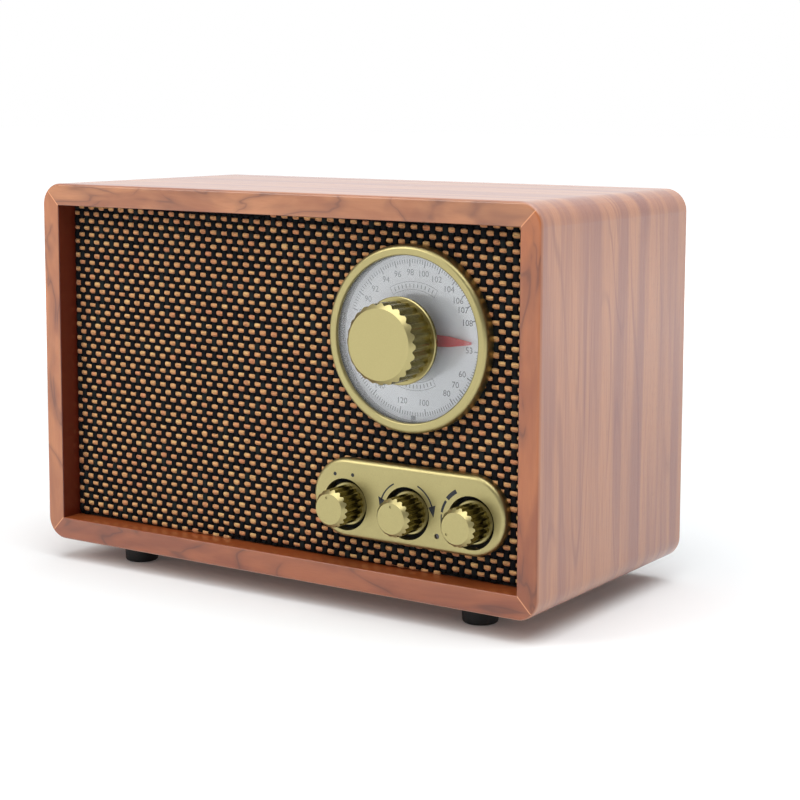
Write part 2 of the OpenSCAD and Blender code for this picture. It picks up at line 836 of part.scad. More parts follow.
// Places aerial parts drawn round the elbow pin: z towards the stem, -z towards the tip, y outwards
module at_elbow() {
  cab() translate([elbow_x, aerial_y, elbow_z]) rotate([0, 90, 0]) children();
}

wall_y = rear_face - aerial_y;
lug_low = 8;
lug_high = 13;
lug_r = 3.4;
stem_r = 1.8;
pin_out = 1;
eye_t = 2.4;
tube_start = -10;
tube_end = tube_start - aerial_len;

module aerial_bracket() {
  color("silver") at_elbow() difference() {
    union() {
      translate([-7, wall_y, 4]) cube([14, 1.4, 12]);
      translate([-lug_r, wall_y, lug_low]) cube([2 * lug_r, -wall_y, lug_high - lug_low]);
      translate([0, 0, lug_low]) cylinder(r = lug_r, h = lug_high - lug_low);
    }
    translate([0, 0, lug_low - 1]) cylinder(r = stem_r + run_gap, h = lug_high - lug_low + 2);
  }
}

module elbow_pin(r, width) {
  translate([-width / 2, 0, 0]) rotate([0, 90, 0]) cylinder(r = r, h = width);
}

// Fork, stem and riveted elbow pin
module aerial_knuckle() {
  slot = eye_t + 0.2;
  color("gainsboro") at_elbow() {
    difference() {
      union() {
        cylinder(r = 3, h = 7.6);
        elbow_pin(3, 6);
      }
      translate([-slot / 2, -5, -5]) cube([slot, 10, 9]);
    }
    elbow_pin(pin_out, 5.8);
    translate([0, 0, 7]) cylinder(r = stem_r, h = lug_high - 7 + 1);
    translate([0, 0, lug_high + 0.2]) cylinder(r = 2.8, h = 1);
  }
}

// Hollow tube from z0 down to z1
module tube(r, hole, z0, z1) {
  translate([0, 0, z1]) difference() {
    cylinder(r = r, h = z0 - z1);
    translate([0, 0, -1]) cylinder(r = hole, h = z0 - z1 + 2);
  }
}

module aerial_base_tube() {
  color("silver") at_elbow() {
    tube(aerial_r, aerial_r - 0.45, tube_start, tube_end);
    translate([0, 0, tube_start]) cylinder(r = aerial_r, h = 4.8);
    difference() {
      union() {
        elbow_pin(2.4, eye_t);
        translate([-eye_t / 2, -2, -5.6]) cube([eye_t, 4, 5.6]);
      }
      elbow_pin(pin_out + run_gap, eye_t + 2);
    }
  }
}

module aerial_middle_tube() {
  color("silver") at_elbow() tube(aerial_r - 0.5, aerial_r - 0.95, tube_start - 2, tube_end - 1.5);
}

module aerial_rod() {
  color("silver") at_elbow() {
    tip = tube_end - 3;
    translate([0, 0, tip]) cylinder(r = aerial_r - 1, h = tube_start - 3 - tip);
    translate([0, 0, tip - 4]) cylinder(r = aerial_r, h = 4);
  }
}

cabinet_top();
cabinet_bottom();
cabinet_left();
cabinet_right();
cabinet_battens();
baffle_board();
grille_cloth();
dial_bezel();
dial_window();
dial_spacer();
dial_plate();
pointer();
pointer_sleeve();
pointer_wheel();
sleeve_bush();
tuning_knob();
tuning_spindle();
spindle_pinion();
idler_gear();
gear_plate();
spindle_bush();
gear_pillars();
gear_screws();
capacitor_body();
capacitor_shaft();
capacitor_gear();
control_panel();
power_lamp();
control_bracket();
band_knob();
tone_knob();
volume_knob();
band_shaft();
tone_shaft();
volume_shaft();
band_switch();
tone_pot();
volume_pot();
control_nuts();
speaker_basket();
speaker_cone();
speaker_surround();
speaker_dust_cap();
speaker_magnet();
speaker_screws();
main_board();
board_parts();
ferrite_rod();
ferrite_coil();
rod_holders();
rear_panel();
rear_screws();
dc_inlet();
rear_jacks();
aerial_bracket();
aerial_knuckle();
aerial_base_tube();
aerial_middle_tube();
aerial_rod();
feet();
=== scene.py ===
import math
import bpy
import numpy as np
from mathutils import Matrix, Vector


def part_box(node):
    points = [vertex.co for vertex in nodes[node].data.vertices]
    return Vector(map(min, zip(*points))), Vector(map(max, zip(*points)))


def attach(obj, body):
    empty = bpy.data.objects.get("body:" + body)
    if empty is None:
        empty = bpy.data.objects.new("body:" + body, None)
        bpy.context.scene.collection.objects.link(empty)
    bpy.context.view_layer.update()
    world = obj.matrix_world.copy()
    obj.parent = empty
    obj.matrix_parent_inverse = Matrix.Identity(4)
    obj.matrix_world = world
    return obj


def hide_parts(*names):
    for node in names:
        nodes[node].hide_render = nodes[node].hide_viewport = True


# Tabletop radio: looks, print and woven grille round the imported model.
# Sizes are in millimetres in the cabinet's own frame: x from the middle,
# y back from the front face, z up from the underside. place() turns them into metres.

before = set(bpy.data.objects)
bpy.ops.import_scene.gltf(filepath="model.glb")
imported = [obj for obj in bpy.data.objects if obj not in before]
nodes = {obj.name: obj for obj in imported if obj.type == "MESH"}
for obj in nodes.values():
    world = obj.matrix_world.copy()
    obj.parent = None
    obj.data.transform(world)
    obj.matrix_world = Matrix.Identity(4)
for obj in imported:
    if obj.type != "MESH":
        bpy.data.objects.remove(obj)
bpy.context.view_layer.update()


def boxOf(name):
    low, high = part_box(name)
    return np.array(low), np.array(high)


mm = 0.001
frontFace = boxOf("cabinet_top")[0][1]
underside = boxOf("cabinet_bottom")[0][2]
origin = np.array([0.0, frontFace, underside])


def place(x, y, z):
    # cabinet millimetres to metres in the frame of the whole radio
    stacked = np.stack(np.broadcast_arrays(x, y, z), axis=-1)
    return stacked * mm + origin


def cabinetBox(name):
    low, high = boxOf(name)
    return (low - origin) / mm, (high - origin) / mm


print("frame loaded:", len(nodes), "CAD parts")

camera = {
    "position": (0.43988, -0.61893, 0.19605),
    "azimuth": 33.80,
    "elevation": 6.81,
    "roll": 0.18,
    "lens": 83.91,
    "shiftY": -0.1,
}


def makeCamera(facts):
    azimuth, elevation, roll = (
        math.radians(facts[k]) for k in ("azimuth", "elevation", "roll")
    )
    back = Vector((
        math.sin(azimuth) * math.cos(elevation),
        -math.cos(azimuth) * math.cos(elevation),
        math.sin(elevation),
    ))
    right = Vector((math.cos(azimuth), math.sin(azimuth), 0.0))
    up = back.cross(right)
    turnedRight = right * math.cos(roll) + up * math.sin(roll)
    turnedUp = up * math.cos(roll) - right * math.sin(roll)
    data = bpy.data.cameras.new("camera")
    data.lens = facts["lens"]
    data.sensor_width = 36.0
    data.shift_y = facts["shiftY"]
    data.clip_start, data.clip_end = 0.02, 50.0
    item = bpy.data.objects.new("camera", data)
    bpy.context.scene.collection.objects.link(item)
    axes = Matrix((turnedRight, turnedUp, back)).transposed().to_4x4()
    item.matrix_world = Matrix.Translation(facts["position"]) @ axes
    bpy.context.scene.camera = item


makeCamera(camera)
print("camera set")


def addMesh(name, points, faces, material, attributes=None, smooth=True):
    # points is (n, 3) in metres, faces a list of (m, k) index arrays
    mesh = bpy.data.meshes.new(name)
    faces = [f for f in faces if len(f)]
    corners = np.concatenate([f.ravel() for f in faces]).astype(np.int32)
    sizes = np.concatenate([np.full(len(f), f.shape[1]) for f in faces]).astype(np.int32)
    starts = np.concatenate([[0], np.cumsum(sizes)[:-1]]).astype(np.int32)
    mesh.vertices.add(len(points))
    mesh.vertices.foreach_set("co", np.ascontiguousarray(points, np.float32).ravel())
    mesh.loops.add(len(corners))
    mesh.loops.foreach_set("vertex_index", corners)
    mesh.polygons.add(len(sizes))
    mesh.polygons.foreach_set("loop_start", starts)
    mesh.polygons.foreach_set("loop_total", sizes)
    mesh.update(calc_edges=True)
    mesh.validate()
    mesh.polygons.foreach_set("use_smooth", np.full(len(mesh.polygons), smooth))
    for key, values in (attributes or {}).items():
        layer = mesh.attributes.new(key, "FLOAT", "POINT")
        layer.data.foreach_set("value", np.asarray(values, np.float32).ravel())
    item = bpy.data.objects.new(name, mesh)
    bpy.context.scene.collection.objects.link(item)
    mesh.materials.append(material)
    return item


def tubes(lines, widthAxis, halfWide, halfDeep, keep, sides):
    # Each centre line carries a closed ring: centre + width axis * halfWide * cos a
    # - y axis * halfDeep * sin a. Rings where keep is false are skipped, and every run
    # of rings is capped at both ends.
    count, steps = lines.shape[:2]
    angle = np.arange(sides) * 2 * math.pi / sides
    wide = np.asarray(widthAxis, float)
    deep = np.array([0.0, -1.0, 0.0])
    ring = (
        np.cos(angle)[:, None] * halfWide[..., None, None] * wide
        + np.sin(angle)[:, None] * halfDeep[..., None, None] * deep
    )
    points = (lines[:, :, None, :] + ring).reshape(-1, 3)
    index = np.arange(count * steps * sides).reshape(count, steps, sides)
    joined = keep[:, :-1] & keep[:, 1:]
    here, there = index[:, :-1], index[:, 1:]
    quads = np.stack(
        [here, np.roll(here, -1, axis=2), np.roll(there, -1, axis=2), there], axis=-1
    )[joined].reshape(-1, 4)
    before = np.pad(joined, ((0, 0), (1, 0)))
    after = np.pad(joined, ((0, 0), (0, 1)))
    firstCaps = index[after & ~before][:, ::-1]
    lastCaps = index[before & ~after]
    used = np.zeros(len(points), bool)
    used[quads.ravel()] = True
    order = np.cumsum(used) - 1
    return points[used], [order[quads], order[firstCaps], order[lastCaps]], used


def prism(outlines, y0, y1):
    # Flat outlines (n, k, 2) in x-z become closed plates between depths y0 and y1:
    # a front ring, a back ring, side quads and two end faces for each outline.
    count, size = outlines.shape[:2]
    front = place(outlines[..., 0], y0, outlines[..., 1])
    rear = place(outlines[..., 0], y1, outlines[..., 1])
    points = np.stack([front, rear], axis=1).reshape(-1, 3)
    index = np.arange(count * 2 * size).reshape(count, 2, size)
    here, there = index[:, 0], index[:, 1]
    sideFaces = np.stack(
        [here, there, np.roll(there, -1, axis=1), np.roll(here, -1, axis=1)], axis=-1
    ).reshape(-1, 4)
    return points, [here, there[:, ::-1], sideFaces]


def plateOf(name, groups, y0, y1, material):
    # groups is a list of outline arrays with their own corner counts
    points, faces, start = [], [], 0
    for outlines in groups:
        some, sides = prism(np.asarray(outlines, float), y0, y1)
        points.append(some)
        faces += [f + start for f in sides]
        start += len(some)
    return addMesh(name, np.concatenate(points), faces, material, smooth=False)



def rgb(red, green, blue):
    # display values 0..255 to linear light
    def straight(v):
        v = v / 255.0
        return v / 12.92 if v <= 0.04045 else ((v + 0.055) / 1.055) ** 2.4

    return (straight(red), straight(green), straight(blue), 1.0)


class Wire:
    # a socket whose + - * ** and abs() add Math nodes

    def __init__(self, shader, socket):
        self.shader, self.socket = shader, socket

    def maths(self, operation, *values):
        return self.shader.add("ShaderNodeMath", {"operation": operation}, list(values))

    def __add__(self, other):
        return self.maths("ADD", self, other)

    def __radd__(self, other):
        return self.maths("ADD", other, self)

    def __sub__(self, other):
        return self.maths("SUBTRACT", self, other)

    def __rsub__(self, other):
        return self.maths("SUBTRACT", other, self)

    def __mul__(self, other):
        return self.maths("MULTIPLY", self, other)

    def __rmul__(self, other):
        return self.maths("MULTIPLY", other, self)

    def __pow__(self, other):
        return self.maths("POWER", self, other)

    def __abs__(self):
        return self.maths("ABSOLUTE", self)


class Shader:
    def __init__(self, name):
        self.material = bpy.data.materials.new(name)
        self.material.use_nodes = True
        self.tree = self.material.node_tree
        self.tree.nodes.clear()
        self.coordinates = {}

    def add(self, kind, settings=None, inputs=None, output=0):
        node = self.tree.nodes.new(kind)
        for key, value in (settings or {}).items():
            if key == "stops":
                ramp = node.color_ramp
                while len(ramp.elements) < len(value):
                    ramp.elements.new(0.5)
                for element, (position, colour) in zip(ramp.elements, value):
                    element.position, element.color = position, colour
            else:
                setattr(node, key, value)
        pairs = inputs.items() if isinstance(inputs, dict) else enumerate(inputs or [])
        for key, value in pairs:
            if isinstance(value, Wire):
                self.tree.links.new(value.socket, node.inputs[key])
            else:
                node.inputs[key].default_value = value
        return Wire(self, node.outputs[output]) if len(node.outputs) else None

    def where(self, axis=None):
        # object coordinates, whole or one of x y z, in metres
        if "whole" not in self.coordinates:
            self.coordinates["whole"] = self.add("ShaderNodeTexCoord", output="Object")
        if axis is None:
            return self.coordinates["whole"]
        if axis not in self.coordinates:
            self.coordinates[axis] = self.add(
                "ShaderNodeSeparateXYZ", None, [self.coordinates["whole"]], output=axis.upper()
            )
        return self.coordinates[axis]

    def facing(self, axis):
        # one part of the surface normal
        normal = self.add("ShaderNodeNewGeometry", output="Normal")
        return self.add("ShaderNodeSeparateXYZ", None, [normal], output=axis.upper())

    def vector(self, x, y, z):
        return self.add("ShaderNodeCombineXYZ", None, [x, y, z])

    def stretched(self, scale):
        return self.add("ShaderNodeMapping", None, {"Vector": self.where(), "Scale": scale})

    def noise(self, vector, scale, detail=3.0, roughness=0.5, distortion=0.0):
        return self.add(
            "ShaderNodeTexNoise",
            None,
            {"Vector": vector, "Scale": scale, "Detail": detail,
             "Roughness": roughness, "Distortion": distortion},
        )

    def step(self, value, low, high, bottom=0.0, top=1.0):
        # smooth ramp of value from low to high
        return self.add(
            "ShaderNodeMapRange",
            {"interpolation_type": "SMOOTHSTEP"},
            [value, low, high, bottom, top],
        )

    def mix(self, share, first, second, blend="MIX"):
        return self.add(
            "ShaderNodeMix",
            {"data_type": "RGBA", "blend_type": blend, "clamp_factor": True},
            {0: share, 6: first, 7: second},
            output=2,
        )

    def bump(self, height, distance, strength=1.0):
        return self.add(
            "ShaderNodeBump", None, {"Height": height, "Distance": distance, "Strength": strength}
        )

    def surface(self, colour, rough, normal=None, **constants):
        # one Principled surface; constants are set on its own sockets
        inputs = {"Base Color": colour, "Roughness": rough}
        if normal is not None:
            inputs["Normal"] = normal
        inputs.update({k.replace("_", " "): v for k, v in constants.items()})
        shader = self.add("ShaderNodeBsdfPrincipled", None, inputs)
        self.finish(shader)
        return self.material

    def finish(self, shader):
        self.add("ShaderNodeOutputMaterial", None, {"Surface": shader})


def clothe(material, *names):
    # gives CAD parts a new material in every slot
    for name in names:
        mesh = nodes[name].data
        if not mesh.materials:
            mesh.materials.append(material)
        for k in range(len(mesh.materials)):
            mesh.materials[k] = material


wood = {
    "faceLight": rgb(192, 124, 82),
    "faceDark": rgb(154, 88, 54),
    "outerLight": rgb(178, 120, 86),
    "outerDark": rgb(142, 88, 74),
    "vein": rgb(84, 38, 32),
    "streak": rgb(122, 68, 62),
    # dark colour of the inner walls of the opening; the upward-facing inner faces get a lighter one as
    # painted light from above
    "innerWallDark": rgb(94, 30, 11),
    "lip": rgb(150, 74, 32),
    "mitre": rgb(226, 156, 108),
    "mitreWide": 0.28,
    "sideWall": 8.8,
    "flatWall": 9.15,
    "roughness": 0.4,
    "coat": 0.75,
    # painted shade per board: the fronts of the bottom and right boards are multiplied darkest, as if
    # less light falls on them
    "paintedBoardShade": {
        "top": (0.90, 0.94, 0.92),
        "bottom": (0.68, 0.47, 0.33),
        "left": (0.95, 0.90, 0.76),
        "right": (0.80, 0.62, 0.40),
    },
}

openHigh = cabinetBox("cabinet_right")[0][0]
innerZ = cabinetBox("grille_cloth")[0][2], cabinetBox("grille_cloth")[1][2]


def makeWood(board, along, seed):
    s = Shader("veneer" + board.title())
    x, z = s.where("x") * 1000.0, (s.where("z") - underside) * 1000.0
    y = (s.where("y") - frontFace) * 1000.0
    middle = (innerZ[0] + innerZ[1]) / 2
    halfWide, halfHigh = openHigh, (innerZ[1] - innerZ[0]) / 2
    up = z - middle
    faceX, faceY, faceZ = s.facing("x"), s.facing("y"), s.facing("z")
    isFront = s.step(abs(faceY), 0.6, 0.9)
    isInner = s.step((faceX * x) * (-1.0 / 120) - (faceZ * up) * (1.0 / 75), 0.3, 0.7)
    # front strips: broad tone, fine grain along the strip and dark wandering figure lines
    run, across = (x, up) if along == "x" else (up, x)
    flat = s.vector(run * 0.012, across * 0.05, seed)
    tone = s.noise(flat, 1.6, 4.0, 0.55, 0.4)
    face = s.mix(s.step(tone, 0.35, 0.68), wood["faceLight"], wood["faceDark"])
    figure = s.noise(s.vector(run * 0.02, across * 0.052, seed + 3.1), 1.0, 2.5, 0.45, 0.9)
    band = abs(figure - 0.5)
    fade = s.step(s.noise(s.vector(run * 0.045, across * 0.1, seed + 9), 1.0, 2.0), 0.34, 0.54)
    line = (1.0 - s.step(band, 0.0, 0.022)) * fade
    halo = (1.0 - s.step(band, 0.0, 0.1)) * fade
    face = s.mix(halo * 0.34, face, wood["vein"])
    face = s.mix(line * 0.46, face, wood["vein"])
    fibre = s.noise(s.vector(run * 0.16, across * 2.2, y * 2.2), 1.0, 4.0, 0.6)
    face = s.mix(s.step(fibre, 0.3, 0.75, 0.0, 0.22), face, wood["faceDark"])
    # painted shade: the front is multiplied by its board's own darkening, strongest on the bottom and
    # right boards
    face = s.mix(1.0, face, wood["paintedBoardShade"][board] + (1.0,), "MULTIPLY")
    # outside: the same sheet runs up one side, over the corner and along the top
    wrap = z - x
    sheet = s.vector(y * 0.06, wrap * 0.003, 0.6)
    broad = s.noise(sheet, 1.8, 3.0, 0.5, 0.3)
    outer = s.mix(s.step(broad, 0.36, 0.66, 0.0, 0.85), wood["outerLight"], wood["outerDark"])
    rings = s.noise(s.vector(y * 0.03, wrap * 0.0024, 5.0), 1.0, 2.0, 0.4, 0.45)
    ringPlace = s.add("ShaderNodeMath", {"operation": "FRACT"}, [rings * 14.0])
    ringLine = 1.0 - s.step(abs(ringPlace - 0.5), 0.0, 0.13)
    ringFade = s.step(s.noise(s.vector(y * 0.06, wrap * 0.006, 2.0), 1.0, 2.0), 0.4, 0.58)
    outer = s.mix(ringLine * ringFade * 0.45, outer, wood["streak"])
    hair = s.noise(s.vector(y * 1.3, wrap * 0.03, 1.0), 1.0, 4.0, 0.6)
    outer = s.mix(s.step(hair, 0.4, 0.72, 0.0, 0.28), outer, wood["streak"])
    pore = s.noise(s.vector(y * 3.2, wrap * 0.3, 7.0), 1.0, 2.0, 0.5)
    poreMask = s.step(pore, 0.56, 0.7) * s.step(y, 25.0, 90.0, 0.25, 1.0)
    outer = s.mix(poreMask * 0.22, outer, wood["vein"])
    colour = s.mix(isFront, outer, face)
    # mitre joints show as a thin light line on the front and back faces
    sideways = (abs(x) - halfWide) * (1.0 / wood["sideWall"])
    upwards = (abs(up) - halfHigh) * (1.0 / wood["flatWall"])
    offJoint = s.step(abs(sideways - upwards) * 6.2, wood["mitreWide"] * 0.5, wood["mitreWide"])
    joint = (1.0 - offJoint) * isFront
    colour = s.mix(joint * 0.75, colour, wood["mitre"])
    # inner walls of the opening take a dark colour; those facing up are painted lighter, painted light as
    # if from above
    inner = s.mix(s.step(faceZ, 0.5, 0.9), wood["innerWallDark"], wood["lip"])
    colour = s.mix(isInner, colour, inner)
    height = fibre * 0.35 + poreMask * -0.5
    normal = s.bump(height, 0.00006, 0.5)
    rough = s.step(fibre, 0.2, 0.8, wood["roughness"] - 0.05, wood["roughness"] + 0.08)
    return s.surface(colour, rough, normal, Coat_Weight=wood["coat"], Coat_Roughness=0.22)


boards = (("top", "x", 1.7), ("bottom", "x", 6.4), ("left", "z", 11.2), ("right", "z", 15.9))
for board, along, seed in boards:
    clothe(makeWood(board, along, seed), "cabinet_" + board)
print("veneer done")


def satinMetal(name, colour, metal, rough, grain=2600.0, spread=0.05, lines=None, **extra):
    # fine speckle in colour, roughness and bump; lines stretches it one way for brushed metal
    s = Shader(name)
    where = s.stretched(lines or (1, 1, 1))
    speck = s.noise(where, grain, 2.0, 0.6)
    cloud = s.noise(s.where(), 60.0, 3.0, 0.5)
    dark = tuple(c * (1 - spread * 2) for c in colour[:3]) + (1.0,)
    tint = s.mix(s.step(cloud, 0.3, 0.7, 0.0, 0.6), colour, dark)
    tint = s.mix(s.step(speck, 0.35, 0.7, 0.0, 0.5), tint, dark)
    roughness = s.step(speck, 0.2, 0.8, rough - 0.05, rough + 0.07)
    normal = s.bump(speck, 0.00002, 0.35)
    return s.surface(tint, roughness, normal, Metallic=metal, **extra)


def moulded(name, colour, rough, second=None, grain=1800.0, depth=0.00004, **extra):
    # plastic, rubber or card: a fine skin grain over a slow change of tone
    s = Shader(name)
    second = second or tuple(c * 0.7 for c in colour[:3]) + (1.0,)
    cloud = s.noise(s.where(), 45.0, 3.0, 0.5)
    skin = s.noise(s.where(), grain, 2.0, 0.5)
    tint = s.mix(s.step(cloud, 0.3, 0.7, 0.0, 0.5), colour, second)
    roughness = s.step(skin, 0.2, 0.8, rough - 0.06, rough + 0.06)
    return s.surface(tint, roughness, s.bump(skin, depth, 0.4), **extra)


gold = {
    "colour": rgb(177, 166, 117),
    # dark gold for a faint speckle and for the painted shade on the knobs' ribbed sides
    "speckAndPaintedShade": rgb(126, 115, 64),
    "metal": 1.0,
    "rough": 0.37,
    "sideRough": 0.26,
}
goldFinish = satinMetal("goldSatin", gold["colour"], gold["metal"], gold["rough"])
clothe(goldFinish, "dial_bezel", "control_panel")


def knobGold(name):
    # bright turned face; the ribbed side is painted darker as painted shade, and is a little shinier
    s = Shader(name)
    speck = s.noise(s.where(), 2600.0, 2.0, 0.6)
    # painted shade: faces turned away from the knob's axis take the dark gold
    side = 1.0 - s.step(abs(s.facing("y")), 0.12, 0.5)
    tint = s.mix(s.step(speck, 0.35, 0.7, 0.0, 0.1), gold["colour"], gold["speckAndPaintedShade"])
    tint = s.mix(side, tint, gold["speckAndPaintedShade"])
    rough = s.step(side, 0.0, 1.0, gold["rough"], gold["sideRough"])
    return s.surface(tint, rough, s.bump(speck, 0.00002, 0.3), Metallic=gold["metal"])


clothe(knobGold("goldKnob"), "tuning_knob", "band_knob", "tone_knob", "volume_knob")

clothe(moulded("footRubber", rgb(9, 9, 12), 0.6), "feet")
clothe(moulded("stainedBoard", rgb(26, 25, 25), 0.8, grain=900.0), "baffle_board", "rear_panel")
clothe(moulded("battenWood", rgb(205, 170, 122), 0.7, rgb(170, 130, 85)), "cabinet_battens")
clothe(moulded("silverCard", rgb(247, 250, 254), 0.45, rgb(242, 246, 251)), "dial_plate")
clothe(satinMetal("greyRing", rgb(150, 152, 154), 0.7, 0.25), "dial_spacer")
clothe(moulded("redNeedle", rgb(235, 8, 36), 0.35, rgb(222, 5, 30)), "pointer")
clothe(satinMetal("turnedBrass", rgb(205, 175, 105), 1.0, 0.28, lines=(1, 0.15, 1)),
       "pointer_sleeve", "pointer_wheel", "spindle_pinion", "spindle_bush",
       "capacitor_shaft", "capacitor_gear")
clothe(moulded("nylonWhite", rgb(228, 224, 210), 0.45),
       "sleeve_bush", "idler_gear", "rod_holders", "capacitor_body")
clothe(satinMetal("brushedSteel", rgb(176, 178, 181), 1.0, 0.3, lines=(1, 0.1, 1)),
       "tuning_spindle", "gear_plate", "gear_pillars", "control_bracket",
       "band_shaft", "tone_shaft", "volume_shaft")
clothe(satinMetal("zincPlate", rgb(190, 193, 198), 1.0, 0.24),
       "gear_screws", "control_nuts", "speaker_screws", "rear_screws", "aerial_bracket", "aerial_knuckle")
clothe(moulded("lampLens", rgb(38, 8, 8), 0.12, Coat_Weight=0.8), "power_lamp")
clothe(moulded("phenolicBrown", rgb(110, 62, 30), 0.5), "band_switch")
clothe(satinMetal("blackEnamel", rgb(48, 48, 50), 0.3, 0.35), "speaker_basket", "tone_pot", "volume_pot")
clothe(moulded("pulpCone", rgb(44, 43, 42), 0.9, rgb(66, 62, 58), grain=600.0, depth=0.0001),
       "speaker_cone", "speaker_dust_cap")
clothe(moulded("softRubber", rgb(28, 28, 29), 0.55), "speaker_surround")
clothe(moulded("darkFerrite", rgb(60, 60, 63), 0.5), "speaker_magnet", "ferrite_rod")
clothe(moulded("boardGreen", rgb(28, 92, 52), 0.4, rgb(18, 70, 40)), "main_board")
clothe(moulded("partCases", rgb(60, 66, 78), 0.4, rgb(30, 30, 34)), "board_parts")
clothe(satinMetal("copperWire", rgb(190, 110, 60), 0.8, 0.35, lines=(6, 1, 1)), "ferrite_coil")
clothe(moulded("blackPlastic", rgb(30, 30, 32), 0.42), "dc_inlet", "rear_jacks")
clothe(satinMetal("chromeTube", rgb(222, 224, 228), 1.0, 0.09, spread=0.01),
       "aerial_base_tube", "aerial_middle_tube", "aerial_rod")


pane = {"haze": 0.07, "rough": 0.12, "bending": 1.45}


def clearPane(name):
    # mirror share rises towards the edge of sight; a thin even haze lies over the card
    s = Shader(name)
    sheen = s.add("ShaderNodeBsdfGlossy", None, {"Color": (1, 1, 1, 1), "Roughness": pane["rough"]})
    veil = s.add("ShaderNodeBsdfDiffuse", None, {"Color": (0.95, 0.97, 1.0, 1)})
    clear = s.add("ShaderNodeBsdfTransparent")
    hazy = s.add("ShaderNodeMixShader", None, [pane["haze"], clear, veil])
    edge = s.add("ShaderNodeFresnel", None, {"IOR": pane["bending"]})
    s.finish(s.add("ShaderNodeMixShader", None, [edge, hazy, sheen]))
    return s.material


clothe(clearPane("clearPane"), "dial_window")
print("finishes done")

cloth = {
    "warpPitch": 2.74,
    "weftPitch": 2.94,
    "fall": 1.65,
    "middle": 9.85,
    "wave": 0.34,
    "weftHalf": (0.79, 0.44),
    "warpHalf": (1.2, 0.38),
    "bow": 0.2,
    "sides": 6,
    "perCrossing": 4,
    "unevenness": 0.07,
    "reach": 120,
    "underBezel": 0.9,
    "underPanel": 1.9,
    "backing": 10.57,
    "backingPitch": 1.5,
    "backingInset": 0.3,
    "inset": 0.25,
    "tan": rgb(218, 166, 112),
    "copper": rgb(210, 144, 102),
    "straw": rgb(230, 188, 126),
    # darker, redder colour painted on the weft's downward-facing sides as shade
    "under": rgb(156, 88, 52),
    "split": rgb(104, 58, 36),
    "black": rgb(13, 14, 16),
    "fleck": rgb(34, 43, 42),
    "blackFibre": rgb(52, 49, 58),
}

clothLow, clothHigh = cabinetBox("grille_cloth")
dialLow, dialHigh = cabinetBox("dial_bezel")
dialX, dialZ = (dialLow[0] + dialHigh[0]) / 2, (dialLow[2] + dialHigh[2]) / 2
bezelRadius = (dialHigh[0] - dialLow[0]) / 2
panelLow, panelHigh = cabinetBox("control_panel")
panelX, panelZ = (panelLow[0] + panelHigh[0]) / 2, (panelLow[2] + panelHigh[2]) / 2
panelHalf = (panelHigh[0] - panelLow[0]) / 2, (panelHigh[2] - panelLow[2]) / 2


def clothThere(x, z):
    # true where the cloth lies: inside the opening, outside the dial and the panel
    inside = (
        (x > clothLow[0] + cloth["inset"]) & (x < clothHigh[0] - cloth["inset"])
        & (z > clothLow[2] + cloth["inset"]) & (z < clothHigh[2] - cloth["inset"])
    )
    offDial = np.hypot(x - dialX, z - dialZ) > bezelRadius - cloth["underBezel"]
    straight = panelHalf[0] - panelHalf[1]
    sideways = np.maximum(np.abs(x - panelX) - straight, 0)
    offPanel = np.hypot(sideways, z - panelZ) > panelHalf[1] - cloth["underPanel"]
    return inside & offDial & offPanel


def rounded(angle):
    # cosine with flattened tops, so that floats lie level and dive steeply
    return np.tanh(1.9 * np.cos(angle)) / math.tanh(1.9)


